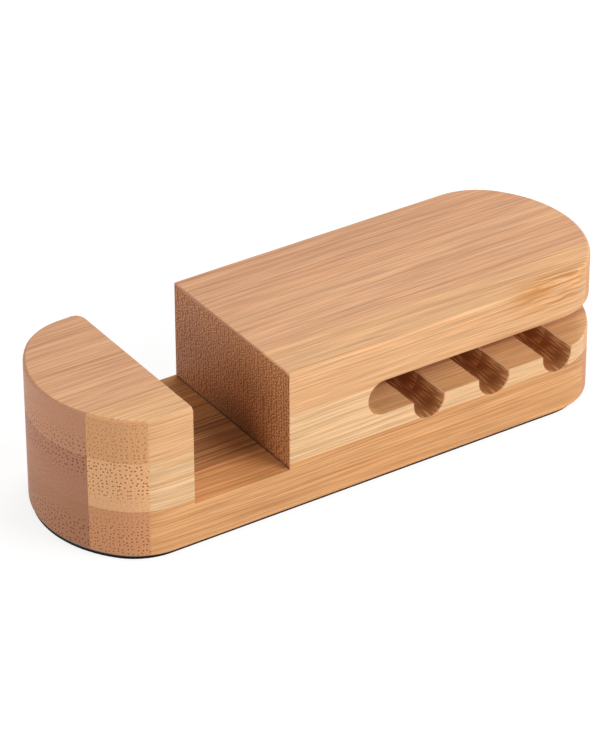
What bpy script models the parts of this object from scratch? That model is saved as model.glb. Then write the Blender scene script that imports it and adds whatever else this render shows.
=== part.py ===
"""Desktop cable organizer: a laminated bamboo block with a phone slot, a cable slit and three
cable grooves, on a thin non-slip pad.

The block is glued up from three plies of three flat strips, and then machined. Each strip piece
here is its cell of the glued blank, cut to the shape of the machined block. Metres, +Z up. The
origin is on the desk, under the middle of the block. +X runs along the block, away from the phone
slot, and -Y is the front.
"""

import math

import bmesh
import bpy
from mathutils import Matrix, Vector

# Strips in each ply, across the block. The middle one has its full sawn width, the outer ones are
# trimmed to the block's sides.
FRONT_STRIP = 0.0091
MIDDLE_STRIP = 0.0199
BACK_STRIP = 0.0119

# Plies, from the base up, as planed
BASE_PLY = 0.0099
MIDDLE_PLY = 0.0105
TOP_PLY = 0.0094

# Each round end is one wide arc between two tighter corners. The arc's radius is half the block's
# width and this much more.
CORNER_RADIUS = 0.0135
END_RADIUS_OVER_HALF = 0.00355

# The rims, routed round at the top and only eased at the bottom
TOP_ROUNDING = 0.0008
BOTTOM_ROUNDING = 0.0004

# A glue line between two strips, and the adhesive film on the pad
GLUE_LINE = 0.0003
ADHESIVE = 0.0003

# Non-slip pad: cut smaller than the base, and stuck on a little towards the lip
PAD_THICKNESS = 0.0006
PAD_INSET = 0.0009
PAD_SHIFT = 0.0005

# Along the block: the lip, the phone slot, the solid wood up to the cable slit's round end, the
# shelf up to the first groove, the grooves with a divider between each two, and the end divider
LIP_LENGTH = 0.0204
PHONE_SLOT_WIDTH = 0.0209
SOLID_LENGTH = 0.0179
SHELF_LENGTH = 0.0105
GROOVE_COUNT = 3
GROOVE_WIDTH = 0.0069
DIVIDER_LENGTH = 0.0083
END_DIVIDER_LENGTH = 0.0130

# The dividers' tops stand this far above the base ply, and the cuts reach this far into the plies
DIVIDER_HEIGHT = 0.0037
PHONE_SLOT_BITE = 0.00115
GROOVE_BITE = 0.0006
SLIT_CEILING_BITE = 0.0006

# Mesh fineness: steps in a corner of the block, in half an end arc, in half a round, and in a rim
CORNER_STEPS = 10
END_STEPS = 7
ROUND_STEPS = 16
RIM_STEPS = 4
SHARP_EDGE = math.radians(40)
FLAT_EDGE = math.radians(0.5)
MERGE_DISTANCE = 1e-6

# How far a cutter, or a cell of the blank, reaches past what it cuts
REACH = 0.010

# Overall sizes
WIDTH = FRONT_STRIP + MIDDLE_STRIP + BACK_STRIP
SLOTTED_LENGTH = LIP_LENGTH + PHONE_SLOT_WIDTH + SOLID_LENGTH + SHELF_LENGTH
GROOVED_LENGTH = GROOVE_COUNT * GROOVE_WIDTH + (GROOVE_COUNT - 1) * DIVIDER_LENGTH
LENGTH = SLOTTED_LENGTH + GROOVED_LENGTH + END_DIVIDER_LENGTH

# Heights
block_bottom = PAD_THICKNESS + ADHESIVE
base_joint = block_bottom + BASE_PLY
top_joint = base_joint + MIDDLE_PLY
block_top = top_joint + TOP_PLY
slot_floor = base_joint - PHONE_SLOT_BITE
groove_bottom = base_joint - GROOVE_BITE
shelf = base_joint + DIVIDER_HEIGHT
slit_ceiling = top_joint + SLIT_CEILING_BITE

# Places along the block
left_end = -LENGTH / 2
right_end = LENGTH / 2
slot_left = left_end + LIP_LENGTH
slot_right = slot_left + PHONE_SLOT_WIDTH
slit_left = slot_right + SOLID_LENGTH
groove_radius = GROOVE_WIDTH / 2
first_centre = slit_left + SHELF_LENGTH + groove_radius
groove_pitch = GROOVE_WIDTH + DIVIDER_LENGTH
groove_centres = [first_centre + groove_pitch * number for number in range(GROOVE_COUNT)]

# Joints between the strips, across the block
front_joint = FRONT_STRIP - WIDTH / 2
back_joint = front_joint + MIDDLE_STRIP

for old in list(bpy.data.objects):
    bpy.data.objects.remove(old, do_unlink=True)

parts = bpy.data.collections.new("desktop_cable_organizer")
cutters = bpy.data.collections.new("cutters")
bpy.context.scene.collection.children.link(parts)
bpy.context.scene.collection.children.link(cutters)


def finish(name, colour, roughness):
    """A plain surface in the part's colour."""
    material = bpy.data.materials.new(name)
    material.use_nodes = True
    shader = material.node_tree.nodes["Principled BSDF"]
    shader.inputs["Base Color"].default_value = (*colour, 1.0)
    shader.inputs["Roughness"].default_value = roughness
    shader.inputs["Metallic"].default_value = 0.0
    return material


def add_object(name, mesh, collection):
    thing = bpy.data.objects.new(name, mesh)
    collection.objects.link(thing)
    return thing


def as_guide(thing):
    """Keep an object as a cutter only."""
    thing.hide_render = True
    thing.display_type = "WIRE"


def arc(centre_x, centre_y, radius, start, end, steps):
    """Points along an arc, from one angle to another, both in half turns."""
    points = []
    for step in range(steps + 1):
        turn = math.pi * (start + (end - start) * step / steps)
        points.append((centre_x + radius * math.cos(turn), centre_y + radius * math.sin(turn)))
    return points


def extruded(name, points, thickness, placing, collection):
    """A flat closed outline, thickened to both sides of its own plane."""
    outline = bpy.data.curves.new(name, "CURVE")
    outline.dimensions = "2D"
    outline.fill_mode = "BOTH"
    outline.extrude = thickness / 2
    spline = outline.splines.new("POLY")
    spline.points.add(len(points) - 1)
    for point, (x, y) in zip(spline.points, points):
        point.co = (x, y, 0.0, 1.0)
    spline.use_cyclic_u = True

    drawn = add_object(name, outline, collection)
    drawn.matrix_world = placing
    bpy.context.view_layer.update()
    mesh = bpy.data.meshes.new_from_object(drawn.evaluated_get(bpy.context.evaluated_depsgraph_get()))
    bpy.data.objects.remove(drawn, do_unlink=True)
    cleaned = bmesh.new()
    cleaned.from_mesh(mesh)
    bmesh.ops.remove_doubles(cleaned, verts=cleaned.verts, dist=MERGE_DISTANCE)
    bmesh.ops.dissolve_limit(cleaned, angle_limit=FLAT_EDGE, verts=cleaned.verts, edges=cleaned.edges)
    cleaned.to_mesh(mesh)
    cleaned.free()
    solid = add_object(name, mesh, collection)
    solid.matrix_world = placing
    return solid


def round_ended_plate(name, inset, low_z, high_z, collection):
    """A level plate with the block's plan, or a smaller one: an arc and two corners at each end."""
    corner = CORNER_RADIUS - inset
    end = WIDTH / 2 + END_RADIUS_OVER_HALF - inset
    end_x = LENGTH / 2 - inset - end
    corner_y = WIDTH / 2 - CORNER_RADIUS
    corner_x = end_x + math.sqrt((end - corner) ** 2 - corner_y**2)
    meeting = math.atan2(corner_y, corner_x - end_x) / math.pi
    quarter = arc(end_x, 0.0, end, 0.0, meeting, END_STEPS) + arc(
        corner_x, corner_y, corner, meeting, 0.5, CORNER_STEPS
    )
    right_half = [(x, -y) for x, y in reversed(quarter)] + quarter
    points = right_half + [(-x, y) for x, y in reversed(right_half)]
    placing = Matrix.Translation((0.0, 0.0, (low_z + high_z) / 2))
    return extruded(name, points, high_z - low_z, placing, collection)


def round_rim(plate, upward, radius):
    """Round the plate's rim, at the top or at the bottom."""
    shape = bmesh.new()
    shape.from_mesh(plate.data)
    faces = [face for face in shape.faces if face.normal.z * upward > math.cos(SHARP_EDGE)]
    rim = {edge for face in faces for edge in face.edges}
    bmesh.ops.bevel(
        shape, geom=list(rim), offset=radius, segments=RIM_STEPS, profile=0.5, affect="EDGES"
    )
    shape.to_mesh(plate.data)
    shape.free()


def cross_cutter(name, points):
    """A cutter that runs across the block along Y, drawn as its outline in X and Z."""
    upright = Matrix.Rotation(math.pi / 2, 4, "X")
    return extruded(name, points, WIDTH + 2 * REACH, upright, cutters)


def box(name, low, high, collection):
    """A box between two corners."""
    shape = bmesh.new()
    bmesh.ops.create_cube(shape, size=1.0)
    bmesh.ops.scale(shape, vec=Vector(high) - Vector(low), verts=shape.verts)
    mesh = bpy.data.meshes.new(name)
    shape.to_mesh(mesh)
    shape.free()
    placed = add_object(name, mesh, collection)
    placed.location = (Vector(low) + Vector(high)) / 2
    return placed


def boolean(thing, tool, operation):
    """Cut an object with a tool, or keep only what the tool covers."""
    cut = thing.modifiers.new(f"{operation.lower()} {tool.name}", "BOOLEAN")
    cut.operation = operation
    cut.solver = "EXACT"
    cut.object = tool
    as_guide(tool)


def shade_rounds(thing):
    """Keep the cut shape as the object's own mesh, smooth on its rounds and sharp at its edges."""
    mesh = bpy.data.meshes.new_from_object(thing.evaluated_get(bpy.context.evaluated_depsgraph_get()))
    mesh.shade_smooth()
    mesh.set_sharp_from_angle(angle=SHARP_EDGE)
    thing.modifiers.clear()
    thing.data = mesh


# The machined block: the whole blank, shaped before it is told apart into its strips
block = round_ended_plate("machined_block", 0.0, block_bottom, block_top, cutters)
round_rim(block, 1.0, TOP_ROUNDING)
round_rim(block, -1.0, BOTTOM_ROUNDING)

above = block_top + REACH
phone_slot = [(slot_left, slot_floor), (slot_right, slot_floor), (slot_right, above), (slot_left, above)]
boolean(block, cross_cutter("phone_slot_cutter", phone_slot), "DIFFERENCE")

slit_radius = (slit_ceiling - shelf) / 2
inside_slit = shelf + slit_radius
slit_end = arc(slit_left + slit_radius, inside_slit, slit_radius, 0.5, 1.5, ROUND_STEPS)
cable_slit = slit_end + [(right_end + REACH, shelf), (right_end + REACH, slit_ceiling)]
boolean(block, cross_cutter("cable_slit_cutter", cable_slit), "DIFFERENCE")

groove_axis = groove_bottom + groove_radius
for number, centre in enumerate(groove_centres, start=1):
    round_bottom = arc(centre, groove_axis, groove_radius, 1.0, 2.0, ROUND_STEPS)
    groove = round_bottom + [(centre + groove_radius, inside_slit), (centre - groove_radius, inside_slit)]
    boolean(block, cross_cutter(f"groove_{number}_cutter", groove), "DIFFERENCE")

# Where the cuts part the plies, along the block
slot_middle = (slot_left + slot_right) / 2
base_lengths = {"": (left_end - REACH, right_end + REACH)}
top_lengths = {"lip_": (left_end - REACH, slot_middle), "block_": (slot_middle, right_end + REACH)}
middle_lengths = {
    "lip_": (left_end - REACH, slot_middle),
    "block_": (slot_middle, groove_centres[0]),
}
for number, centre in enumerate(groove_centres, start=1):
    next_cut = groove_centres[number] if number < GROOVE_COUNT else right_end + REACH
    middle_lengths[f"divider_{number}_"] = (centre, next_cut)

half_line = GLUE_LINE / 2
plies = {
    "base_ply": (base_lengths, block_bottom - REACH, base_joint - half_line),
    "middle_ply": (middle_lengths, base_joint + half_line, top_joint - half_line),
    "top_ply": (top_lengths, top_joint + half_line, block_top + REACH),
}
strips = {
    "front_strip": (-WIDTH / 2 - REACH, front_joint - half_line),
    "middle_strip": (front_joint + half_line, back_joint - half_line),
    "back_strip": (back_joint + half_line, WIDTH / 2 + REACH),
}

bamboo = {
    "base_ply": finish("bamboo_base_ply", (0.62, 0.36, 0.17), 0.5),
    "middle_ply": finish("bamboo_middle_ply", (0.75, 0.50, 0.28), 0.5),
    "top_ply": finish("bamboo_top_ply", (0.68, 0.41, 0.21), 0.5),
}
for ply, (lengths, low_z, high_z) in plies.items():
    for length_name, (low_x, high_x) in lengths.items():
        for strip, (low_y, high_y) in strips.items():
            piece = box(
                f"{ply}_{length_name}{strip}", (low_x, low_y, low_z), (high_x, high_y, high_z), parts
            )
            piece.data.materials.append(bamboo[ply])
            boolean(piece, block, "INTERSECT")
            shade_rounds(piece)

# The pad lies on the desk, under the whole base
pad = round_ended_plate("non_slip_pad", PAD_INSET, 0.0, PAD_THICKNESS, parts)
pad.location.x = -PAD_SHIFT
pad.data.materials.append(finish("black_foam_rubber", (0.012, 0.012, 0.013), 0.8))
shade_rounds(pad)
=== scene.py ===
"""Desktop cable organizer in laminated bamboo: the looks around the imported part.

The block is glued up from three plies of three bamboo strips, machined as one piece, and stuck on a
thin black pad. Metres, +Z up, +X along the block from the phone slot to the cable grooves.
"""

import math

import bmesh
import bpy
from mathutils import Matrix, Vector


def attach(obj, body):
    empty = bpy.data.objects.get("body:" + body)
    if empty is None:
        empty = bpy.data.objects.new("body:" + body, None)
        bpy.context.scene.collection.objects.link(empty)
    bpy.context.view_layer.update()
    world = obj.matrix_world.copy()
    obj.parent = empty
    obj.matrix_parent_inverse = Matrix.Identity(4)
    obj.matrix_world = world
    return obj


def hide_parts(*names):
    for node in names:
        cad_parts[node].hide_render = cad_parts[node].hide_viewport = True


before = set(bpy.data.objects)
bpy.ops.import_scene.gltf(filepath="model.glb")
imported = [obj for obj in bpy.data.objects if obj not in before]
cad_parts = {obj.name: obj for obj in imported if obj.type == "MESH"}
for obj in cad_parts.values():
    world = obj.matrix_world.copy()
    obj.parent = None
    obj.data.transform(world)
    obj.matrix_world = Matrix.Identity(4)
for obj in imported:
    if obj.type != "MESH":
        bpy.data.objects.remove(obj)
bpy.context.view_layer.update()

# The glued blank, as it comes off the router. Its round ends and its rims are routed first, then the
# phone slot, the cable slit and the three grooves are milled through all the plies they meet, and
# the edges left by the cutters are sanded by hand.

MM = 0.001

LENGTH = 120.0 * MM
WIDTH = 40.9 * MM
CORNER_RADIUS = 13.5 * MM
END_RADIUS = 24.0 * MM
BLOCK_BOTTOM = 0.9 * MM
BASE_JOINT = 10.8 * MM
TOP_JOINT = 21.3 * MM
BLOCK_TOP = 30.7 * MM
FRONT_JOINT = -11.35 * MM
BACK_JOINT = 8.55 * MM
TOP_ROUNDING = 0.8 * MM
BOTTOM_ROUNDING = 0.4 * MM

SLOT_LEFT = -39.6 * MM
SLOT_RIGHT = -18.7 * MM
SLOT_MIDDLE = (SLOT_LEFT + SLOT_RIGHT) / 2
SLOT_FLOOR = 9.65 * MM
SLIT_LEFT = -0.8 * MM
SHELF = 14.5 * MM
SLIT_CEILING = 21.9 * MM
GROOVE_RADIUS = 3.45 * MM
GROOVE_BOTTOM = 10.2 * MM
GROOVE_CENTRES = [13.15 * MM, 28.35 * MM, 43.55 * MM]

# Hand sanding: the four upright edges of the slot, and all other edges that a cutter left
SLOT_EDGES = {"lip_front": 0.15 * MM, "lip_back": 2.6 * MM, "block_front": 0.2 * MM, "block_back": 0.9 * MM}
SANDED_EDGE = 0.3 * MM
SANDED_STEPS = 3

# How far a cutter reaches past the block, and the angles over which an edge counts as sharp, and
# under which two faces count as one
PAST = 10.0 * MM
SHARP = math.radians(40)
FLAT = math.radians(0.5)


def arc(centre_x, centre_y, radius, start, end, steps):
    """Points along an arc, from one angle to another, both in degrees."""
    points = []
    for step in range(steps + 1):
        turn = math.radians(start + (end - start) * step / steps)
        points.append((centre_x + radius * math.cos(turn), centre_y + radius * math.sin(turn)))
    return points


def round_ended_plan(inset):
    """The block's plan, or a smaller one: a wide arc between two corners at each end."""
    end = END_RADIUS - inset
    corner = CORNER_RADIUS - inset
    end_x = LENGTH / 2 - END_RADIUS
    corner_y = WIDTH / 2 - CORNER_RADIUS
    corner_x = end_x + math.sqrt((end - corner) ** 2 - corner_y**2)
    meeting = math.degrees(math.atan2(corner_y, corner_x - end_x))
    quarter = arc(end_x, 0.0, end, 0.0, meeting, 12) + arc(corner_x, corner_y, corner, meeting, 90.0, 13)[1:]
    right_half = [(x, -y) for x, y in reversed(quarter[1:])] + quarter
    return right_half + [(-x, y) for x, y in reversed(right_half)]


def prism(points, low, high, upright=True):
    """A solid from a flat outline, between two levels along Z, or between two depths along Y."""
    shape = bmesh.new()
    if upright:
        corners = [shape.verts.new((x, y, low)) for x, y in points]
        rise = (0.0, 0.0, high - low)
    else:
        corners = [shape.verts.new((x, low, z)) for x, z in points]
        rise = (0.0, high - low, 0.0)
    sheet = shape.faces.new(corners)
    grown = bmesh.ops.extrude_face_region(shape, geom=[sheet])
    moved = [item for item in grown["geom"] if isinstance(item, bmesh.types.BMVert)]
    bmesh.ops.translate(shape, verts=moved, vec=rise)
    bmesh.ops.recalc_face_normals(shape, faces=shape.faces)
    return shape


def keep(shape, name):
    """Turn a bmesh into an object of the scene."""
    mesh = bpy.data.meshes.new(name)
    shape.to_mesh(mesh)
    shape.free()
    thing = bpy.data.objects.new(name, mesh)
    bpy.context.scene.collection.objects.link(thing)
    return thing


def round_rim(shape, upward, radius, steps):
    """Round the edge all round the top face, or all round the bottom face."""
    faces = [face for face in shape.faces if face.normal.z * upward > math.cos(SHARP)]
    rim = list({edge for face in faces for edge in face.edges})
    bmesh.ops.bevel(shape, geom=rim, offset=radius, segments=steps, profile=0.5, affect="EDGES")


def settle(thing):
    """Turn an object's modifiers into its own mesh."""
    bpy.context.view_layer.update()
    graph = bpy.context.evaluated_depsgraph_get()
    mesh = bpy.data.meshes.new_from_object(thing.evaluated_get(graph))
    thing.modifiers.clear()
    thing.data = mesh


def boolean(thing, tool, operation):
    """Cut an object with a tool, or keep only what the tool covers, and put the tool away."""
    cut = thing.modifiers.new("cut", "BOOLEAN")
    cut.operation = operation
    cut.solver = "EXACT"
    cut.object = tool
    settle(thing)
    bpy.data.objects.remove(tool, do_unlink=True)


blank = prism(round_ended_plan(0.0), BLOCK_BOTTOM, BLOCK_TOP)
round_rim(blank, 1.0, TOP_ROUNDING, 6)
round_rim(blank, -1.0, BOTTOM_ROUNDING, 3)
block = keep(blank, "machined_block")


def slot_corner(wall_x, away, side, radius):
    """One sanded corner of the slot's plan, from inside the slot out past the block's side."""
    turns = [0.0, 16.0, 32.0, 48.0, 64.0, 80.0]
    edge_y = side * (WIDTH / 2 - radius * math.sin(math.radians(turns[-1])))
    points = []
    for turn in turns:
        x = wall_x + away * radius * (1.0 - math.cos(math.radians(turn)))
        y = edge_y + side * radius * math.sin(math.radians(turn))
        points.append((x, y))
    points.append((points[-1][0] + away * 0.1 * PAST, side * (WIDTH / 2 + PAST)))
    return points


slot_plan = (
    list(reversed(slot_corner(SLOT_LEFT, -1.0, -1.0, SLOT_EDGES["lip_front"])))
    + slot_corner(SLOT_LEFT, -1.0, 1.0, SLOT_EDGES["lip_back"])
    + list(reversed(slot_corner(SLOT_RIGHT, 1.0, 1.0, SLOT_EDGES["block_back"])))
    + slot_corner(SLOT_RIGHT, 1.0, -1.0, SLOT_EDGES["block_front"])
)
boolean(block, keep(prism(slot_plan, SLOT_FLOOR, BLOCK_TOP + PAST), "phone_slot_cutter"), "DIFFERENCE")

slit_radius = (SLIT_CEILING - SHELF) / 2
slit_axis = SHELF + slit_radius
groove_axis = GROOVE_BOTTOM + GROOVE_RADIUS
slit_outline = arc(SLIT_LEFT + slit_radius, slit_axis, slit_radius, 90.0, 270.0, 28)
for centre in GROOVE_CENTRES:
    slit_outline.append((centre - GROOVE_RADIUS, SHELF))
    slit_outline += arc(centre, groove_axis, GROOVE_RADIUS, 180.0, 360.0, 28)
    slit_outline.append((centre + GROOVE_RADIUS, SHELF))
slit_outline += [(LENGTH / 2 + PAST, SHELF), (LENGTH / 2 + PAST, SLIT_CEILING)]
slit = prism(slit_outline, -WIDTH / 2 - PAST, WIDTH / 2 + PAST, upright=False)
boolean(block, keep(slit, "cable_slit_cutter"), "DIFFERENCE")


# Points nearer to each other than this are one, and an edge nearer to a glue line than this is on it
SAME_POINT = 0.002 * MM
ON_GLUE_LINE = 0.01 * MM


def sand_edges(piece, low, high):
    """Sand the edges that a cutter left on a strip, but not those where it meets its neighbours."""
    shape = bmesh.new()
    shape.from_mesh(piece.data)
    bmesh.ops.remove_doubles(shape, verts=shape.verts, dist=SAME_POINT)
    bmesh.ops.dissolve_limit(shape, angle_limit=FLAT, verts=shape.verts, edges=shape.edges)
    sanded = shape.edges.layers.float.new("bevel_weight_edge")
    for edge in shape.edges:
        glued = False
        for axis in range(3):
            for wall in (low[axis], high[axis]):
                if all(abs(corner.co[axis] - wall) < ON_GLUE_LINE for corner in edge.verts):
                    glued = True
        if not glued and edge.is_convex and edge.calc_face_angle(0.0) > SHARP:
            edge[sanded] = 1.0
    shape.to_mesh(piece.data)
    shape.free()
    sanding = piece.modifiers.new("sanded edges", "BEVEL")
    sanding.limit_method = "WEIGHT"
    sanding.width = SANDED_EDGE
    sanding.segments = SANDED_STEPS
    sanding.use_clamp_overlap = False
    settle(piece)


# The base ply: three bamboo strips side by side, under the whole block. A strip is a straight length
# of the cane's wall, planed square, so its vessels run along the block and end as dark dots.


def linear(shade):
    """An sRGB hex colour as the linear colour that a shader takes."""
    channels = []
    for start in (1, 3, 5):
        part = int(shade[start : start + 2], 16) / 255
        channels.append(part / 12.92 if part <= 0.04045 else ((part + 0.055) / 1.055) ** 2.4)
    return (*channels, 1.0)


def add_node(tree, kind, settings, inputs):
    """Add a node with its settings, and feed each of its inputs a value or another node's output."""
    node = tree.nodes.new(kind)
    for setting, choice in settings.items():
        setattr(node, setting, choice)
    for place, source in inputs.items():
        if isinstance(source, bpy.types.NodeSocket):
            tree.links.new(source, node.inputs[place])
        else:
            node.inputs[place].default_value = source
    return node


def wander(tree, wood, length, width, size):
    """How far the vessels wander sideways, in millimetres, over a length and a width of the wood."""
    spot = add_node(
        tree,
        "ShaderNodeMapping",
        {},
        {"Vector": wood.outputs[0], "Scale": (1 / length, 1 / width, 1 / width)},
    )
    noise = add_node(
        tree, "ShaderNodeTexNoise", {}, {"Vector": spot.outputs[0], "Scale": 1.0, "Detail": 2.0}
    )
    to_and_fro = add_node(
        tree,
        "ShaderNodeVectorMath",
        {"operation": "SUBTRACT"},
        {0: noise.outputs["Color"], 1: (0.5, 0.5, 0.5)},
    )
    return add_node(
        tree,
        "ShaderNodeVectorMath",
        {"operation": "MULTIPLY"},
        {0: to_and_fro.outputs[0], 1: (0.0, size, size)},
    )


def patch(tree, place, centre, reach, inner, outer):
    """A soft patch of the wood, from 1 inside to 0 outside. Inner and outer are shares of its reach."""
    off = add_node(
        tree, "ShaderNodeVectorMath", {"operation": "SUBTRACT"}, {0: place.outputs["Object"], 1: centre}
    )
    share = add_node(tree, "ShaderNodeVectorMath", {"operation": "DIVIDE"}, {0: off.outputs[0], 1: reach})
    away = add_node(tree, "ShaderNodeVectorMath", {"operation": "LENGTH"}, {0: share.outputs[0]})
    return add_node(
        tree,
        "ShaderNodeMapRange",
        {"interpolation_type": "SMOOTHSTEP"},
        {
            "Value": away.outputs["Value"],
            "From Min": inner,
            "From Max": outer,
            "To Min": 1.0,
            "To Max": 0.0,
        },
    )


# The growth layers fall this much towards the back, so a streak sinks where it runs round a corner
LAYER_SLOPE = 0.45

# A face nearer to level than this shows the grain as a top does. Then come the shares of the depth
# and of the height that the streaks change with, on upright and on level faces.
LEVEL = 0.7
DEPTH_UPRIGHT = 0.05
DEPTH_LEVEL = 0.75
HEIGHT_UPRIGHT = 1.0
HEIGHT_LEVEL = 0.05


def lay_out(tree, facing, grain):
    """The grain as a face shows it, to draw it along the block, and the same as seen from its end.

    A level face is cut between the fibres side by side, and an upright one between those on top of
    each other. So the streaks change with depth on the first, and with height on the second.
    """
    steep = add_node(tree, "ShaderNodeMath", {"operation": "ABSOLUTE"}, {0: facing.outputs["Z"]})
    level = add_node(
        tree, "ShaderNodeMath", {"operation": "GREATER_THAN"}, {0: steep.outputs[0], 1: LEVEL}
    )
    by_depth = add_node(
        tree,
        "ShaderNodeMapRange",
        {},
        {"Value": level.outputs[0], "To Min": DEPTH_UPRIGHT, "To Max": DEPTH_LEVEL},
    )
    by_height = add_node(
        tree,
        "ShaderNodeMapRange",
        {},
        {"Value": level.outputs[0], "To Min": HEIGHT_UPRIGHT, "To Max": HEIGHT_LEVEL},
    )
    layer = add_node(
        tree,
        "ShaderNodeMath",
        {"operation": "MULTIPLY_ADD"},
        {0: grain.outputs["Y"], 1: LAYER_SLOPE, 2: grain.outputs["Z"]},
    )
    laid_depth = add_node(
        tree, "ShaderNodeMath", {"operation": "MULTIPLY"}, {0: grain.outputs["Y"], 1: by_depth.outputs[0]}
    )
    laid_height = add_node(
        tree, "ShaderNodeMath", {"operation": "MULTIPLY"}, {0: layer.outputs[0], 1: by_height.outputs[0]}
    )
    laid = add_node(
        tree,
        "ShaderNodeCombineXYZ",
        {},
        {"X": grain.outputs["X"], "Y": laid_depth.outputs[0], "Z": laid_height.outputs[0]},
    )
    laid_end = add_node(
        tree, "ShaderNodeCombineXYZ", {}, {"X": laid_depth.outputs[0], "Y": laid_height.outputs[0]}
    )
    return laid, laid_end


# The kinds of streak along the grain: broad bands where the cane grew paler, pale and dark streaks,
# the places where the vessels show as lines, and the fibres, which are drawn 0.3 mm wide so that they
# show. Length and width are in millimetres. Low and high are where in the noise a streak begins and
# is full, and most is how much it then shows. The offset keeps each kind apart from the others.
PALE_BAND = dict(
    offset=(41.0, 5.0, 23.0), length=110.0, width=4.0, detail=1.0, low=0.30, high=0.75, most=0.25
)
PALE_STREAK = dict(
    offset=(7.0, 31.0, 13.0), length=60.0, width=0.40, detail=2.0, low=0.50, high=0.62, most=0.55
)
DARK_STREAK = dict(
    offset=(0.0, 0.0, 0.0), length=50.0, width=0.33, detail=2.0, low=0.52, high=0.66, most=0.7
)
VESSEL_LINES = dict(
    offset=(3.0, 11.0, 57.0), length=70.0, width=2.4, detail=1.0, low=0.34, high=0.58, most=1.0
)
FIBRES = dict(
    offset=(13.0, 17.0, 19.0), length=16.0, width=0.32, detail=2.0, low=0.34, high=0.66, most=1.0
)


def streaks(tree, laid, offset, length, width, detail, low, high, most):
    """Streaks along the grain, from 0 where there is none to the most in the middle of one."""
    spot = add_node(
        tree,
        "ShaderNodeMapping",
        {},
        {"Vector": laid.outputs[0], "Location": offset, "Scale": (1 / length, 1 / width, 1 / width)},
    )
    noise = add_node(
        tree,
        "ShaderNodeTexNoise",
        {},
        {"Vector": spot.outputs[0], "Scale": 1.0, "Detail": detail, "Roughness": 0.55},
    )
    return add_node(
        tree,
        "ShaderNodeMapRange",
        {"interpolation_type": "SMOOTHSTEP"},
        {"Value": noise.outputs["Fac"], "From Min": low, "From Max": high, "To Max": most},
    ).outputs[0]


def vessels(tree, plane, pitch, inner, outer):
    """Vessels in a plane, from 1 within the inner share of their pitch to 0 outside the outer one."""
    cells = add_node(
        tree,
        "ShaderNodeTexVoronoi",
        {"voronoi_dimensions": "2D", "feature": "F1"},
        {"Vector": plane.outputs[0], "Scale": 1.0 / pitch, "Randomness": 0.62},
    )
    return add_node(
        tree,
        "ShaderNodeMapRange",
        {"interpolation_type": "SMOOTHSTEP"},
        {
            "Value": cells.outputs["Distance"],
            "From Min": inner,
            "From Max": outer,
            "To Min": 1.0,
            "To Max": 0.0,
        },
    ).outputs[0]


# How much a vessel's line shows along the grain
LINE_SHADE = 0.9


def lengthwise_wood(tree, laid, laid_end, side, dark, light, spacing):
    """The colour along the grain: bands, streaks, and the vessels as long thin lines."""
    banded = add_node(
        tree,
        "ShaderNodeMix",
        {"data_type": "RGBA"},
        {0: streaks(tree, laid, **PALE_BAND), 6: linear(side), 7: linear(light)},
    )
    with_pale = add_node(
        tree,
        "ShaderNodeMix",
        {"data_type": "RGBA"},
        {0: streaks(tree, laid, **PALE_STREAK), 6: banded.outputs[2], 7: linear(light)},
    )
    with_dark = add_node(
        tree,
        "ShaderNodeMix",
        {"data_type": "RGBA"},
        {0: streaks(tree, laid, **DARK_STREAK), 6: with_pale.outputs[2], 7: linear(dark)},
    )
    lines_here = streaks(tree, laid, **VESSEL_LINES)
    long_vessel = vessels(tree, laid_end, spacing, inner=0.08, outer=0.24)
    line = add_node(tree, "ShaderNodeMath", {"operation": "MULTIPLY"}, {0: long_vessel, 1: lines_here})
    line_shade = add_node(
        tree, "ShaderNodeMath", {"operation": "MULTIPLY"}, {0: line.outputs[0], 1: LINE_SHADE}
    )
    return add_node(
        tree,
        "ShaderNodeMix",
        {"data_type": "RGBA"},
        {0: line_shade.outputs[0], 6: with_dark.outputs[2], 7: linear(dark)},
    )


# What the pale rings and the dark vessels do to the colour of wood that is cut across, how much of
# the dots is left where they are sparse, and how much the specks between them show
RING_TINT = (1.16, 1.14, 1.10, 1.0)
VESSEL_TINT = (0.37, 0.28, 0.21, 1.0)
SPARSE_SHARE = 0.15
SPECK_SHADE = 0.28


def crosswise_wood(tree, position, section, end, sparse, dense, spacing, dots):
    """The colour across the grain, and where its dots are.

    The vessels are about 0.35 mm wide. Cut across they are dark dots, denser towards the cane's outer
    skin, each in a pale ring of fibre, with faint specks between them.
    """
    vessel = vessels(tree, section, spacing, inner=0.13, outer=0.32)
    ring = vessels(tree, section, spacing, inner=0.26, outer=0.48)
    density = add_node(
        tree,
        "ShaderNodeMapRange",
        {"interpolation_type": "SMOOTHSTEP"},
        {
            "Value": position.outputs["Z"],
            "From Min": sparse * MM,
            "From Max": dense * MM,
            "To Min": SPARSE_SHARE * dots,
            "To Max": dots,
        },
    )
    dot = add_node(tree, "ShaderNodeMath", {"operation": "MULTIPLY"}, {0: vessel, 1: density.outputs[0]})
    small = vessels(tree, section, 0.5 * spacing, inner=0.12, outer=0.42)
    speck = add_node(tree, "ShaderNodeMath", {"operation": "MULTIPLY"}, {0: small, 1: SPECK_SHADE})
    mark = add_node(
        tree, "ShaderNodeMath", {"operation": "MAXIMUM"}, {0: dot.outputs[0], 1: speck.outputs[0]}
    )
    pale = add_node(tree, "ShaderNodeMath", {"operation": "MULTIPLY"}, {0: ring, 1: density.outputs[0]})
    ringed = add_node(
        tree,
        "ShaderNodeMix",
        {"data_type": "RGBA", "blend_type": "MULTIPLY"},
        {0: pale.outputs[0], 6: linear(end), 7: RING_TINT},
    )
    dotted = add_node(
        tree,
        "ShaderNodeMix",
        {"data_type": "RGBA", "blend_type": "MULTIPLY"},
        {0: mark.outputs[0], 6: ringed.outputs[2], 7: VESSEL_TINT},
    )
    return dotted, dot


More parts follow.
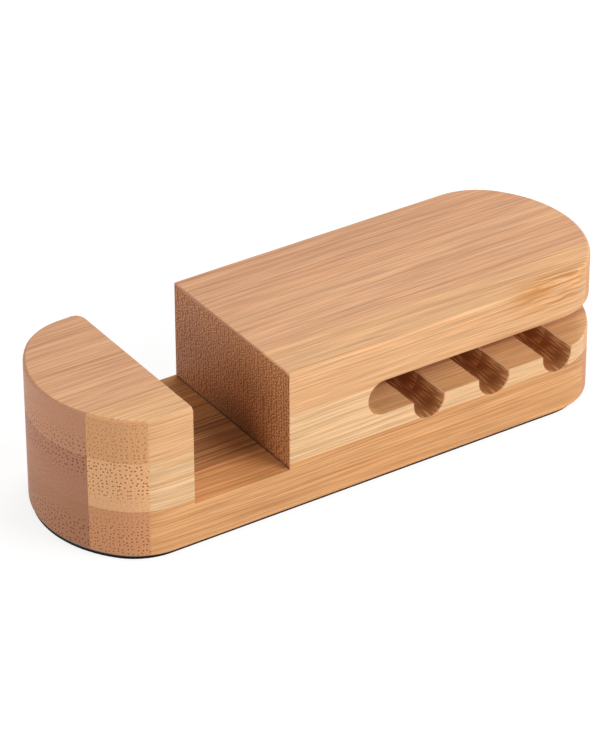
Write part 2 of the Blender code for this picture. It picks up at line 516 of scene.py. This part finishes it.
# The walls that the cutter tore, with pale torn fibres. They are darker in the slot than in the
# grooves, where the lighter wall colour is painted light.
SLOT_WALL = "#9a5c32"
GROOVE_WALL = "#ae7647"
TORN_FIBRE = "#e9b380"

# Painted shade on the slot's walls: darkest low in the middle of their foot, and less up to this far off
PAINTED_WALL_SHADE_MIDDLE = (SLOT_MIDDLE, -1.0 * MM, SLOT_FLOOR)
PAINTED_WALL_SHADE_REACH = (36.0 * MM, 18.0 * MM, 10.0 * MM)
PAINTED_WALL_SHADE_TINT = (0.48, 0.41, 0.27, 1.0)

# Painted shade in the corner at the slot's foot, above its floor
FOOT_LOW = SLOT_FLOOR + 0.2 * MM
FOOT_HIGH = SLOT_FLOOR + 0.8 * MM
FOOT_SHADE = 0.35

# The torn fibres' spacing in millimetres, and how far the cutter drew them out: sideways in the slot,
# and from front to back in the grooves
SLOT_TEAR = 0.31
SLOT_DRAWN = 0.42
GROOVE_TEAR = 0.5
GROOVE_DRAWN = 0.09


def milled_wall(tree, place, position, grain, section, in_groove):
    """The colour of a face milled across the grain: brown, torn pale fibres, painted shade in the slot."""
    wall = add_node(
        tree,
        "ShaderNodeMix",
        {"data_type": "RGBA"},
        {0: in_groove.outputs[0], 6: linear(SLOT_WALL), 7: linear(GROOVE_WALL)},
    )
    slot_marks = add_node(
        tree,
        "ShaderNodeVectorMath",
        {"operation": "MULTIPLY"},
        {0: section.outputs[0], 1: (SLOT_DRAWN, 1.0, 1.0)},
    )

    # The ball-nosed cutter's marks in the grooves, laid out round each groove's own axis
    from_first = add_node(
        tree, "ShaderNodeMath", {"operation": "SUBTRACT"}, {0: position.outputs["X"], 1: GROOVE_CENTRES[0]}
    )
    half_pitch = (GROOVE_CENTRES[1] - GROOVE_CENTRES[0]) / 2
    beside = add_node(
        tree,
        "ShaderNodeMath",
        {"operation": "WRAP"},
        {0: from_first.outputs[0], 1: half_pitch, 2: -half_pitch},
    )
    above = add_node(
        tree, "ShaderNodeMath", {"operation": "SUBTRACT"}, {0: position.outputs["Z"], 1: groove_axis}
    )
    turn = add_node(
        tree, "ShaderNodeMath", {"operation": "ARCTAN2"}, {0: above.outputs[0], 1: beside.outputs[0]}
    )
    round_groove = add_node(
        tree, "ShaderNodeMath", {"operation": "MULTIPLY"}, {0: turn.outputs[0], 1: GROOVE_RADIUS / MM}
    )
    along_groove = add_node(
        tree, "ShaderNodeMath", {"operation": "MULTIPLY"}, {0: grain.outputs["Y"], 1: GROOVE_DRAWN}
    )
    groove_marks = add_node(
        tree, "ShaderNodeCombineXYZ", {}, {"X": along_groove.outputs[0], "Y": round_groove.outputs[0]}
    )
    torn_fibres = add_node(
        tree,
        "ShaderNodeMix",
        {"data_type": "FLOAT"},
        {
            0: in_groove.outputs[0],
            2: vessels(tree, slot_marks, SLOT_TEAR, inner=0.05, outer=0.46),
            3: vessels(tree, groove_marks, GROOVE_TEAR, inner=0.05, outer=0.46),
        },
    )
    torn = add_node(
        tree,
        "ShaderNodeMix",
        {"data_type": "RGBA"},
        {0: torn_fibres.outputs[0], 6: wall.outputs[2], 7: linear(TORN_FIBRE)},
    )

    # In the slot, painted shade low on the walls' middle, and in the corner above the floor
    painted_wall_shade = patch(tree, place, PAINTED_WALL_SHADE_MIDDLE, PAINTED_WALL_SHADE_REACH, inner=0.25, outer=1.05)
    darkened = add_node(
        tree,
        "ShaderNodeMix",
        {"data_type": "RGBA", "blend_type": "MULTIPLY"},
        {0: painted_wall_shade.outputs[0], 6: torn.outputs[2], 7: PAINTED_WALL_SHADE_TINT},
    )
    foot = add_node(
        tree,
        "ShaderNodeMapRange",
        {},
        {"Value": position.outputs["Z"], "From Min": FOOT_LOW, "From Max": FOOT_HIGH, "To Min": FOOT_SHADE},
    )
    foot_shade = add_node(
        tree, "ShaderNodeMath", {"operation": "MAXIMUM"}, {0: foot.outputs[0], 1: in_groove.outputs[0]}
    )
    return add_node(
        tree,
        "ShaderNodeVectorMath",
        {"operation": "SCALE"},
        {0: darkened.outputs[2], "Scale": foot_shade.outputs[0]},
    )


# The vessels begin to show across the grain between these sines of the turn round a corner: some 21
# degrees round the left corner, but 34 round the right one
CUT_FROM = 0.34
CUT_TO = 0.39
RIGHT_LESS = 0.2


def cut_across(tree, facing):
    """How far a face is cut across the grain: only where it faces along the block."""
    to_left = add_node(tree, "ShaderNodeMath", {"operation": "MULTIPLY"}, {0: facing.outputs["X"], 1: -1.0})
    to_right = add_node(
        tree, "ShaderNodeMath", {"operation": "SUBTRACT"}, {0: facing.outputs["X"], 1: RIGHT_LESS}
    )
    to_end = add_node(
        tree, "ShaderNodeMath", {"operation": "MAXIMUM"}, {0: to_left.outputs[0], 1: to_right.outputs[0]}
    )
    return add_node(
        tree,
        "ShaderNodeMapRange",
        {"interpolation_type": "SMOOTHSTEP"},
        {"Value": to_end.outputs[0], "From Min": CUT_FROM, "From Max": CUT_TO},
    )


# The milled faces are those that run straight from front to back, below this height and nearer the
# block's middle than this. The grooves' round bottoms lie below the shelf, and their long edges face
# up by more than the walls and by less than the shelf.
MILLED_TOP = 30.3 * MM
MILLED_REACH = 58.5 * MM
STRAIGHT = 0.05
ROUND_TOP = SHELF - 0.5 * MM
EDGE_FROM = 0.25
EDGE_TO = 0.95


def milled_parts(tree, position, facing, distance, in_groove):
    """The milled faces, the grooves' round bottoms and the grooves' long edges, each 1 where it is."""
    inward = add_node(tree, "ShaderNodeMath", {"operation": "ABSOLUTE"}, {0: facing.outputs["Y"]})
    crossing = add_node(
        tree, "ShaderNodeMath", {"operation": "LESS_THAN"}, {0: inward.outputs[0], 1: STRAIGHT}
    )
    low = add_node(
        tree, "ShaderNodeMath", {"operation": "LESS_THAN"}, {0: position.outputs["Z"], 1: MILLED_TOP}
    )
    inside = add_node(
        tree, "ShaderNodeMath", {"operation": "LESS_THAN"}, {0: distance.outputs[0], 1: MILLED_REACH}
    )
    both = add_node(
        tree, "ShaderNodeMath", {"operation": "MULTIPLY"}, {0: crossing.outputs[0], 1: low.outputs[0]}
    )
    milled = add_node(
        tree, "ShaderNodeMath", {"operation": "MULTIPLY"}, {0: both.outputs[0], 1: inside.outputs[0]}
    )

    # A groove's round bottom is as rough as its walls
    sunk = add_node(
        tree, "ShaderNodeMath", {"operation": "LESS_THAN"}, {0: position.outputs["Z"], 1: ROUND_TOP}
    )
    rounded = add_node(
        tree, "ShaderNodeMath", {"operation": "MULTIPLY"}, {0: sunk.outputs[0], 1: in_groove.outputs[0]}
    )
    round_bottom = add_node(
        tree, "ShaderNodeMath", {"operation": "MULTIPLY"}, {0: rounded.outputs[0], 1: milled.outputs[0]}
    )

    # The grooves' long edges face neither straight up nor sideways
    turning_up = add_node(
        tree, "ShaderNodeMath", {"operation": "GREATER_THAN"}, {0: facing.outputs["Z"], 1: EDGE_FROM}
    )
    not_level = add_node(
        tree, "ShaderNodeMath", {"operation": "LESS_THAN"}, {0: facing.outputs["Z"], 1: EDGE_TO}
    )
    edge = add_node(
        tree, "ShaderNodeMath", {"operation": "MULTIPLY"}, {0: turning_up.outputs[0], 1: not_level.outputs[0]}
    )
    raised = add_node(
        tree, "ShaderNodeMath", {"operation": "SUBTRACT"}, {0: in_groove.outputs[0], 1: sunk.outputs[0]}
    )
    at_shelf = add_node(
        tree, "ShaderNodeMath", {"operation": "MULTIPLY"}, {0: edge.outputs[0], 1: raised.outputs[0]}
    )
    long_edge = add_node(
        tree,
        "ShaderNodeMath",
        {"operation": "MULTIPLY", "use_clamp": True},
        {0: at_shelf.outputs[0], 1: milled.outputs[0]},
    )
    return milled, round_bottom, long_edge


# The grain sways half a millimetre or so sideways over some 45 mm of length. Round a node of the cane
# it bends about 1 mm to and fro, every 11 mm, and wavy orange streaks show there. In millimetres.
SWAY = dict(length=45.0, width=14.0, size=1.3)
BEND = dict(length=11.0, width=5.0, size=2.2)
WAVY_STREAK = dict(
    offset=(29.0, 43.0, 5.0), length=12.0, width=0.60, detail=2.0, low=0.42, high=0.58, most=0.9
)
WAVY_ORANGE = "#c68340"
FIGURE_REACH = (14.0 * MM, 6.0 * MM, 7.0 * MM)

# The tint of milled faces along the grain: partly the cutter's burnishing, partly painted shade in the
# hollows
BURNISH_AND_PAINTED_SHADE = (1.0, 0.89, 0.74, 1.0)
# The grooves' long edges: clean sanded wood with a painted highlight
CLEAN_EDGE_AND_HIGHLIGHT = "#efc79c"
GROOVES_START = 5.0 * MM
FIBRE_RELIEF = 0.02 * MM


def bamboo(
    name,
    side,
    dark,
    light,
    end,
    seed,
    tilt,
    sparse,
    dense,
    spacing,
    dots,
    lean=0.0,
    burnish_and_painted_light=BURNISH_AND_PAINTED_SHADE,
    figure=None,
):
    """Bamboo strip, planed and sanded under a thin satin lacquer: soft sheen, fine raised fibres.

    side, dark and light are the colours of the wood along the grain, of its vessels and of the pale
    fibres, and end is the colour across the grain. The vessels are sparse at one level and dense at
    the other, in millimetres above the table. spacing is the vessels' spacing in millimetres, and
    dots how much they show where they are cut across. lean keeps them round where the block's
    corner cuts them at a slant. burnish_and_painted_light is how the milled faces along the grain
    are tinted: partly by a cutter's burnishing and partly as painted shade in the hollows, and on the
    slot floor's back as painted light. figure is the middle of a patch where a node of the cane makes
    the grain wavy.
    """
    material = bpy.data.materials.new(name)
    material.use_nodes = True
    tree = material.node_tree
    shader = tree.nodes["Principled BSDF"]
    place = add_node(tree, "ShaderNodeTexCoord", {}, {})
    position = add_node(tree, "ShaderNodeSeparateXYZ", {}, {0: place.outputs["Object"]})
    facing = add_node(tree, "ShaderNodeSeparateXYZ", {}, {0: place.outputs["Normal"]})
    distance = add_node(tree, "ShaderNodeMath", {"operation": "ABSOLUTE"}, {0: position.outputs["X"]})
    in_groove = add_node(
        tree,
        "ShaderNodeMath",
        {"operation": "GREATER_THAN"},
        {0: position.outputs["X"], 1: GROOVES_START},
    )

    # Millimetres in the strip's own wood, with the grain a little off the block's length
    wood = add_node(
        tree,
        "ShaderNodeMapping",
        {},
        {
            "Vector": place.outputs["Object"],
            "Location": seed,
            "Rotation": (0.0, math.radians(tilt[0]), math.radians(tilt[1])),
            "Scale": (1.0 / MM, 1.0 / MM, 1.0 / MM),
        },
    )
    sway = wander(tree, wood, **SWAY)
    swayed = add_node(
        tree, "ShaderNodeVectorMath", {"operation": "ADD"}, {0: wood.outputs[0], 1: sway.outputs[0]}
    )
    if figure:
        figured = patch(tree, place, figure, FIGURE_REACH, inner=0.25, outer=1.0)
        bend = wander(tree, wood, **BEND)
        bent = add_node(
            tree,
            "ShaderNodeVectorMath",
            {"operation": "SCALE"},
            {0: bend.outputs[0], "Scale": figured.outputs[0]},
        )
        swayed = add_node(
            tree, "ShaderNodeVectorMath", {"operation": "ADD"}, {0: swayed.outputs[0], 1: bent.outputs[0]}
        )
    grain = add_node(tree, "ShaderNodeSeparateXYZ", {}, {0: swayed.outputs[0]})

    # Along the grain
    laid, laid_end = lay_out(tree, facing, grain)
    lengthwise = lengthwise_wood(tree, laid, laid_end, side, dark, light, spacing)
    if figure:
        wavy = streaks(tree, laid, **WAVY_STREAK)
        drawn = add_node(
            tree, "ShaderNodeMath", {"operation": "MULTIPLY"}, {0: wavy, 1: figured.outputs[0]}
        )
        lengthwise = add_node(
            tree,
            "ShaderNodeMix",
            {"data_type": "RGBA"},
            {0: drawn.outputs[0], 6: lengthwise.outputs[2], 7: linear(WAVY_ORANGE)},
        )
    fibre = streaks(tree, laid, **FIBRES)
    fibre_shade = add_node(tree, "ShaderNodeMapRange", {}, {"Value": fibre, "To Min": 0.86, "To Max": 1.14})
    fibrous = add_node(
        tree,
        "ShaderNodeVectorMath",
        {"operation": "SCALE"},
        {0: lengthwise.outputs[2], "Scale": fibre_shade.outputs[0]},
    )

    # Across the grain, in the plane of the strip's section
    slant = add_node(
        tree, "ShaderNodeMath", {"operation": "MULTIPLY"}, {0: distance.outputs[0], 1: lean / MM}
    )
    turned = add_node(
        tree,
        "ShaderNodeMath",
        {"operation": "MULTIPLY_ADD"},
        {0: grain.outputs["Y"], 1: math.sqrt(1.0 - lean**2), 2: slant.outputs[0]},
    )
    section = add_node(
        tree, "ShaderNodeCombineXYZ", {}, {"X": turned.outputs[0], "Y": grain.outputs["Z"]}
    )
    crosswise, dot = crosswise_wood(tree, position, section, end, sparse, dense, spacing, dots)

    # Inside the slot, the slit and the grooves, the wood along the grain is tinted by the cutter's burnishing
    # and by painted shade, and the slot floor's back by painted light. The cutter tore it across the grain.
    milled, round_bottom, long_edge = milled_parts(tree, position, facing, distance, in_groove)
    milled_along_grain = add_node(
        tree,
        "ShaderNodeMix",
        {"data_type": "RGBA", "blend_type": "MULTIPLY"},
        {0: milled.outputs[0], 6: fibrous.outputs[0], 7: burnish_and_painted_light},
    )
    torn_wall = milled_wall(tree, place, position, grain, section, in_groove)
    end_or_wall = add_node(
        tree,
        "ShaderNodeMix",
        {"data_type": "RGBA"},
        {0: milled.outputs[0], 6: crosswise.outputs[2], 7: torn_wall.outputs[0]},
    )
    across = cut_across(tree, facing)
    crossed = add_node(
        tree, "ShaderNodeMath", {"operation": "MAXIMUM"}, {0: across.outputs[0], 1: round_bottom.outputs[0]}
    )
    cut = add_node(
        tree,
        "ShaderNodeMix",
        {"data_type": "RGBA"},
        {0: crossed.outputs[0], 6: milled_along_grain.outputs[2], 7: end_or_wall.outputs[2]},
    )

    # The grooves' long edges are sanded through the burnishing to clean pale wood, painted paler still as a
    # highlight
    finished = add_node(
        tree,
        "ShaderNodeMix",
        {"data_type": "RGBA"},
        {0: long_edge.outputs[0], 6: cut.outputs[2], 7: linear(CLEAN_EDGE_AND_HIGHLIGHT)},
    )
    tree.links.new(finished.outputs[2], shader.inputs["Base Color"])

    # Satin lacquer that fills the fibres only in part
    gloss = add_node(tree, "ShaderNodeMapRange", {}, {"Value": fibre, "To Min": 0.50, "To Max": 0.62})
    tree.links.new(gloss.outputs[0], shader.inputs["Roughness"])
    relief = add_node(tree, "ShaderNodeMath", {"operation": "SUBTRACT"}, {0: fibre, 1: dot.outputs[0]})
    bump = add_node(
        tree, "ShaderNodeBump", {}, {"Height": relief.outputs[0], "Strength": 0.5, "Distance": FIBRE_RELIEF}
    )
    tree.links.new(bump.outputs[0], shader.inputs["Normal"])
    shader.inputs["Metallic"].default_value = 0.0
    shader.inputs["IOR"].default_value = 1.4
    shader.inputs["Specular IOR Level"].default_value = 0.42
    return material


def lamella(node, material, lengths, depths, heights):
    """One strip of the block: the machined shape inside the strip's own cell of the blank."""
    low = Vector((lengths[0], depths[0], heights[0]))
    high = Vector((lengths[1], depths[1], heights[1]))
    outline = [(low.x, low.y), (high.x, low.y), (high.x, high.y), (low.x, high.y)]
    cell = keep(prism(outline, low.z, high.z), "cell")
    piece = bpy.data.objects.new("bamboo_" + node, block.data.copy())
    bpy.context.scene.collection.objects.link(piece)
    boolean(piece, cell, "INTERSECT")
    sand_edges(piece, low, high)
    piece.data.shade_smooth()
    piece.data.set_sharp_from_angle(angle=SHARP)
    piece.data.materials.clear()
    piece.data.materials.append(material)
    even = piece.modifiers.new("even shading", "WEIGHTED_NORMAL")
    even.keep_sharp = True
    settle(piece)
    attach(piece, "root")
    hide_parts(node)


DEPTHS = {
    "front_strip": (-WIDTH / 2 - PAST, FRONT_JOINT),
    "middle_strip": (FRONT_JOINT, BACK_JOINT),
    "back_strip": (BACK_JOINT, WIDTH / 2 + PAST),
}

BASE_WOOD = {
    "front_strip": bamboo(
        "sanded_bamboo_base_front",
        side="#d29863",
        dark="#bb7d4b",
        light="#e6b27d",
        end="#d19469",
        seed=(11.0, 0.0, 4.0),
        tilt=(0.3, 0.8),
        sparse=14.0,
        dense=4.5,
        spacing=0.8,
        dots=0.95,
        lean=0.5,
    ),
    "middle_strip": bamboo(
        "sanded_bamboo_base_middle",
        side="#a9734a",
        dark="#6e3d22",
        light="#dcaa7c",
        end="#ab7757",
        seed=(53.0, 9.0, 7.0),
        tilt=(0.3, -0.5),
        sparse=9.5,
        dense=5.5,
        spacing=1.0,
        dots=1.0,
        # Partly the cutter's burnishing, partly painted shade: the slot floor's middle is tinted darker and
        # more orange
        burnish_and_painted_light=(0.96, 0.84, 0.60, 1.0),
    ),
    "back_strip": bamboo(
        "sanded_bamboo_base_back",
        side="#a9734a",
        dark="#83502f",
        light="#c08a5c",
        end="#af7c5c",
        seed=(97.0, 3.0, 1.0),
        tilt=(-0.3, 0.4),
        sparse=9.5,
        dense=5.5,
        spacing=1.0,
        dots=0.9,
        lean=-0.5,
        # Painted light on the slot floor's back: its milled face is tinted lighter
        burnish_and_painted_light=(1.4, 1.38, 1.12, 1.0),
    ),
}
for strip, depths in DEPTHS.items():
    lamella(
        "base_ply_" + strip,
        BASE_WOOD[strip],
        (-LENGTH / 2 - PAST, LENGTH / 2 + PAST),
        depths,
        (BLOCK_BOTTOM - PAST, BASE_JOINT),
    )

# The middle ply: the slot, the slit and the grooves cut it into the lip's part, the block's part up
# to the first groove, and the three dividers that the cables lie between.

MIDDLE_WOOD = {
    "front_strip": bamboo(
        "sanded_bamboo_middle_front",
        side="#e2b98b",
        dark="#dca873",
        light="#edc79c",
        end="#e6b080",
        seed=(23.0, 5.0, 2.0),
        tilt=(0.2, 0.6),
        sparse=11.0,
        dense=15.5,
        spacing=0.87,
        dots=1.0,
        lean=0.5,
    ),
    "middle_strip": bamboo(
        "sanded_bamboo_middle_middle",
        side="#cc956c",
        dark="#b07650",
        light="#d6a47e",
        end="#b07a5d",
        seed=(71.0, 2.0, 9.0),
        tilt=(0.1, -0.7),
        sparse=14.5,
        dense=19.0,
        spacing=1.0,
        dots=1.0,
        burnish_and_painted_light=(1.05, 1.02, 0.95, 1.0),
    ),
    "back_strip": bamboo(
        "sanded_bamboo_middle_back",
        side="#cc956c",
        dark="#b07650",
        light="#d6a47e",
        end="#b47e61",
        seed=(5.0, 8.0, 3.0),
        tilt=(0.2, 0.5),
        sparse=14.5,
        dense=19.0,
        spacing=1.0,
        dots=0.9,
        lean=-0.5,
    ),
}
MIDDLE_LENGTHS = {
    "lip": (-LENGTH / 2 - PAST, SLOT_MIDDLE),
    "block": (SLOT_MIDDLE, GROOVE_CENTRES[0]),
    "divider_1": (GROOVE_CENTRES[0], GROOVE_CENTRES[1]),
    "divider_2": (GROOVE_CENTRES[1], GROOVE_CENTRES[2]),
    "divider_3": (GROOVE_CENTRES[2], LENGTH / 2 + PAST),
}
for part, lengths in MIDDLE_LENGTHS.items():
    for strip, depths in DEPTHS.items():
        lamella(
            "middle_ply_" + part + "_" + strip,
            MIDDLE_WOOD[strip],
            lengths,
            depths,
            (BASE_JOINT, TOP_JOINT),
        )

# The top ply: the lip's cap and the long cap over the cable slit. Both are from the same three strips,
# and the front one has a node of the cane in it, near its right end.

TOP_WOOD = {
    "front_strip": bamboo(
        "sanded_bamboo_top_front",
        side="#dfab7c",
        dark="#cd9058",
        light="#e9bb8a",
        end="#d9a070",
        seed=(37.0, 1.0, 6.0),
        tilt=(0.4, 0.9),
        sparse=40.0,
        dense=20.0,
        spacing=0.9,
        dots=0.72,
        lean=0.5,
        figure=(42 * MM, -20 * MM, 29.5 * MM),
    ),
    "middle_strip": bamboo(
        "sanded_bamboo_top_middle",
        side="#d8a278",
        dark="#bd845e",
        light="#e4b289",
        end="#bf8969",
        seed=(83.0, 6.0, 2.0),
        tilt=(0.0, -0.4),
        sparse=28.0,
        dense=22.5,
        spacing=1.0,
        dots=0.9,
    ),
    "back_strip": bamboo(
        "sanded_bamboo_top_back",
        side="#d39c74",
        dark="#b87f5a",
        light="#e0ad85",
        end="#c28c70",
        seed=(17.0, 4.0, 8.0),
        tilt=(0.1, 0.5),
        sparse=28.0,
        dense=22.5,
        spacing=1.0,
        dots=0.8,
        lean=-0.5,
    ),
}
TOP_LENGTHS = {
    "lip": (-LENGTH / 2 - PAST, SLOT_MIDDLE),
    "block": (SLOT_MIDDLE, LENGTH / 2 + PAST),
}
for part, lengths in TOP_LENGTHS.items():
    for strip, depths in DEPTHS.items():
        lamella(
            "top_ply_" + part + "_" + strip,
            TOP_WOOD[strip],
            lengths,
            depths,
            (TOP_JOINT, BLOCK_TOP + PAST),
        )
bpy.data.objects.remove(block, do_unlink=True)

# The non-slip pad: thin black foam rubber, die-cut a little smaller than the base. Die-cutting
# leaves its rim square, with a hair of rounding.

PAD_THICKNESS = 0.6 * MM
PAD_INSET = 0.9 * MM
PAD_SHIFT = 0.5 * MM
PAD_ROUNDING = 0.1 * MM
FOAM_CELL = 0.35 * MM

# Closed-cell foam rubber as it comes off the sheet: matt and nearly black, and its fine cells only
# break up the sheen
foam = bpy.data.materials.new("black_foam_rubber_die_cut")
foam.use_nodes = True
foam_shader = foam.node_tree.nodes["Principled BSDF"]
foam_place = add_node(foam.node_tree, "ShaderNodeTexCoord", {}, {})
foam_cells = add_node(
    foam.node_tree,
    "ShaderNodeTexNoise",
    {},
    {"Vector": foam_place.outputs["Object"], "Scale": 1 / FOAM_CELL, "Detail": 3.0},
)
foam_colour = add_node(
    foam.node_tree,
    "ShaderNodeMix",
    {"data_type": "RGBA"},
    {0: foam_cells.outputs["Fac"], 6: linear("#060505"), 7: linear("#131110")},
)
foam_bump = add_node(
    foam.node_tree,
    "ShaderNodeBump",
    {},
    {"Height": foam_cells.outputs["Fac"], "Strength": 0.6, "Distance": 0.04 * MM},
)
foam.node_tree.links.new(foam_colour.outputs[2], foam_shader.inputs["Base Color"])
foam.node_tree.links.new(foam_bump.outputs[0], foam_shader.inputs["Normal"])
foam_shader.inputs["Roughness"].default_value = 0.75
foam_shader.inputs["IOR"].default_value = 1.5
foam_shader.inputs["Specular IOR Level"].default_value = 0.15

pad_shape = prism(round_ended_plan(PAD_INSET), 0.0, PAD_THICKNESS)
round_rim(pad_shape, 1.0, PAD_ROUNDING, 2)
round_rim(pad_shape, -1.0, PAD_ROUNDING, 2)
pad = keep(pad_shape, "foam_rubber_pad")
pad.data.transform(Matrix.Translation((-PAD_SHIFT, 0.0, 0.0)))
pad.data.shade_smooth()
pad.data.set_sharp_from_angle(angle=SHARP)
pad.data.materials.append(foam)
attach(pad, "root")
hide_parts("non_slip_pad")

# The pad's adhesive film: clear double-sided tape on a pale carrier, cut with the pad. From the side
# it is the thin pale line between the wood and the foam.

TAPE_MOTTLE = 1.5 * MM

# Acrylic tape, die-cut: smooth, faintly shiny and a little uneven
film = bpy.data.materials.new("acrylic_adhesive_tape")
film.use_nodes = True
film_shader = film.node_tree.nodes["Principled BSDF"]
film_place = add_node(film.node_tree, "ShaderNodeTexCoord", {}, {})
film_mottle = add_node(
    film.node_tree,
    "ShaderNodeTexNoise",
    {},
    {"Vector": film_place.outputs["Object"], "Scale": 1 / TAPE_MOTTLE, "Detail": 2.0},
)
film_colour = add_node(
    film.node_tree,
    "ShaderNodeMix",
    {"data_type": "RGBA"},
    {0: film_mottle.outputs["Fac"], 6: linear("#565c60"), 7: linear("#7c8387")},
)
film.node_tree.links.new(film_colour.outputs[2], film_shader.inputs["Base Color"])
film_shader.inputs["Roughness"].default_value = 0.4
film_shader.inputs["IOR"].default_value = 1.47

tape_shape = prism(round_ended_plan(PAD_INSET), PAD_THICKNESS, BLOCK_BOTTOM)
tape = keep(tape_shape, "adhesive_tape")
tape.data.transform(Matrix.Translation((-PAD_SHIFT, 0.0, 0.0)))
tape.data.materials.append(film)
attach(tape, "root")

# The stage: a plain white table that keeps a soft shadow, in a white studio. The camera and the
# reflections see both as white. The light on the object comes from the lamps, and less from the walls.

# Sprayed laminate: even and matt, so it shows nothing but the shadow
TABLE_GLOW = 0.8
TABLE_SHADOW = (0.3, 0.3, 0.3, 1.0)
FLOOR_REACH = 3.0


def seen_straight(tree):
    """1 where a ray comes from the camera, from a reflection or through glass, and 0 elsewhere."""
    ray = add_node(tree, "ShaderNodeLightPath", {}, {})
    seen = add_node(
        tree,
        "ShaderNodeMath",
        {"operation": "MAXIMUM"},
        {0: ray.outputs["Is Camera Ray"], 1: ray.outputs["Is Glossy Ray"]},
    )
    return add_node(
        tree,
        "ShaderNodeMath",
        {"operation": "MAXIMUM"},
        {0: seen.outputs[0], 1: ray.outputs["Is Transmission Ray"]},
    )


table = bpy.data.materials.new("white_table_laminate")
table.use_nodes = True
tree = table.node_tree
table_shader = tree.nodes["Principled BSDF"]
table_shader.inputs["Base Color"].default_value = linear("#cbc8c4")
table_shader.inputs["Roughness"].default_value = 0.8
table_seen = seen_straight(tree)
shadowed = add_node(tree, "ShaderNodeBsdfDiffuse", {}, {"Color": TABLE_SHADOW})
glow = add_node(
    tree, "ShaderNodeEmission", {}, {"Color": (1.0, 1.0, 1.0, 1.0), "Strength": TABLE_GLOW}
)
white = add_node(tree, "ShaderNodeAddShader", {}, {0: shadowed.outputs[0], 1: glow.outputs[0]})
chosen = add_node(
    tree,
    "ShaderNodeMixShader",
    {},
    {0: table_seen.outputs[0], 1: table_shader.outputs[0], 2: white.outputs[0]},
)
tree.links.new(chosen.outputs[0], tree.nodes["Material Output"].inputs["Surface"])

floor_shape = bmesh.new()
bmesh.ops.create_grid(floor_shape, x_segments=1, y_segments=1, size=FLOOR_REACH)
floor = keep(floor_shape, "floor")
floor.data.materials.append(table)

# The walls light the object at this strength, and what is seen of them has strength 1, as white
WALL_LIGHT = 0.30

world = bpy.data.worlds.new("white_studio")
world.use_nodes = True
bpy.context.scene.world = world
tree = world.node_tree
walls_seen = seen_straight(tree)
strength = add_node(
    tree,
    "ShaderNodeMapRange",
    {},
    {"Value": walls_seen.outputs[0], "To Min": WALL_LIGHT, "To Max": 1.0},
)
sky = tree.nodes["Background"]
sky.inputs["Color"].default_value = (1.0, 1.0, 1.0, 1.0)
tree.links.new(strength.outputs[0], sky.inputs["Strength"])

# Four large soft boxes: the key in front to the right, and weaker ones on the left, at the back and
# above. Their power is worked out from how bright a surface that faces them should be, where 1 shows
# a colour as it is written.

MIDDLE = Vector((0.0, 0.0, 15.0 * MM))
LAMP_DISTANCE = 0.9


def around(azimuth, elevation):
    """The direction of something seen from the block, at azimuth 0 in front of it."""
    turn = math.radians(azimuth)
    rise = math.radians(elevation)
    return Vector((math.sin(turn) * math.cos(rise), -math.cos(turn) * math.cos(rise), math.sin(rise)))


def soft_box(name, azimuth, elevation, size, brightness):
    """A square soft box, aimed at the block."""
    lamp = bpy.data.lights.new(name, "AREA")
    lamp.shape = "SQUARE"
    lamp.size = size
    lamp.energy = brightness * math.pi**2 * LAMP_DISTANCE**2
    box = bpy.data.objects.new(name, lamp)
    bpy.context.scene.collection.objects.link(box)
    towards = around(azimuth, elevation)
    box.location = MIDDLE + LAMP_DISTANCE * towards
    box.rotation_mode = "QUATERNION"
    box.rotation_quaternion = towards.to_track_quat("Z", "Y")


soft_box("key_soft_box", azimuth=32, elevation=30, size=0.5, brightness=0.73)
soft_box("left_soft_box", azimuth=-68, elevation=12, size=0.4, brightness=0.28)
soft_box("back_left_soft_box", azimuth=-135, elevation=10, size=0.3, brightness=0.21)
soft_box("top_soft_box", azimuth=120, elevation=62, size=0.4, brightness=0.29)

# The camera stands where the photo's outline and edges put it, on the left in front and looking down,
# a long way back with a long lens. It rolls and shifts by a hair to give the photo's frame.

AZIMUTH = -33.37
ELEVATION = 31.376
ROLL = math.radians(-0.167)
DISTANCE = 784.212 * MM
ASIDE = -1.004 * MM
ABOVE = 0.860 * MM
AIM = Vector((0.0, 0.0, 13.506 * MM + BLOCK_BOTTOM))
FOCAL_LENGTH = 199.565
SENSOR_WIDTH = 36.0

back = around(AZIMUTH, ELEVATION)
level = Vector((math.cos(math.radians(AZIMUTH)), math.sin(math.radians(AZIMUTH)), 0.0))
upward = back.cross(level)
right = math.cos(ROLL) * level + math.sin(ROLL) * upward
up = -math.sin(ROLL) * level + math.cos(ROLL) * upward
lens = bpy.data.cameras.new("camera")
lens.lens = FOCAL_LENGTH
lens.sensor_width = SENSOR_WIDTH
lens.clip_start = 0.05
lens.clip_end = 10.0
camera = bpy.data.objects.new("camera", lens)
bpy.context.scene.collection.objects.link(camera)
camera.matrix_world = Matrix.Translation(AIM + DISTANCE * back + ASIDE * right + ABOVE * up) @ Matrix(
    (right, up, back)
).transposed().to_4x4()
bpy.context.scene.camera = camera
bpy.context.scene.view_settings.view_transform = "Standard"
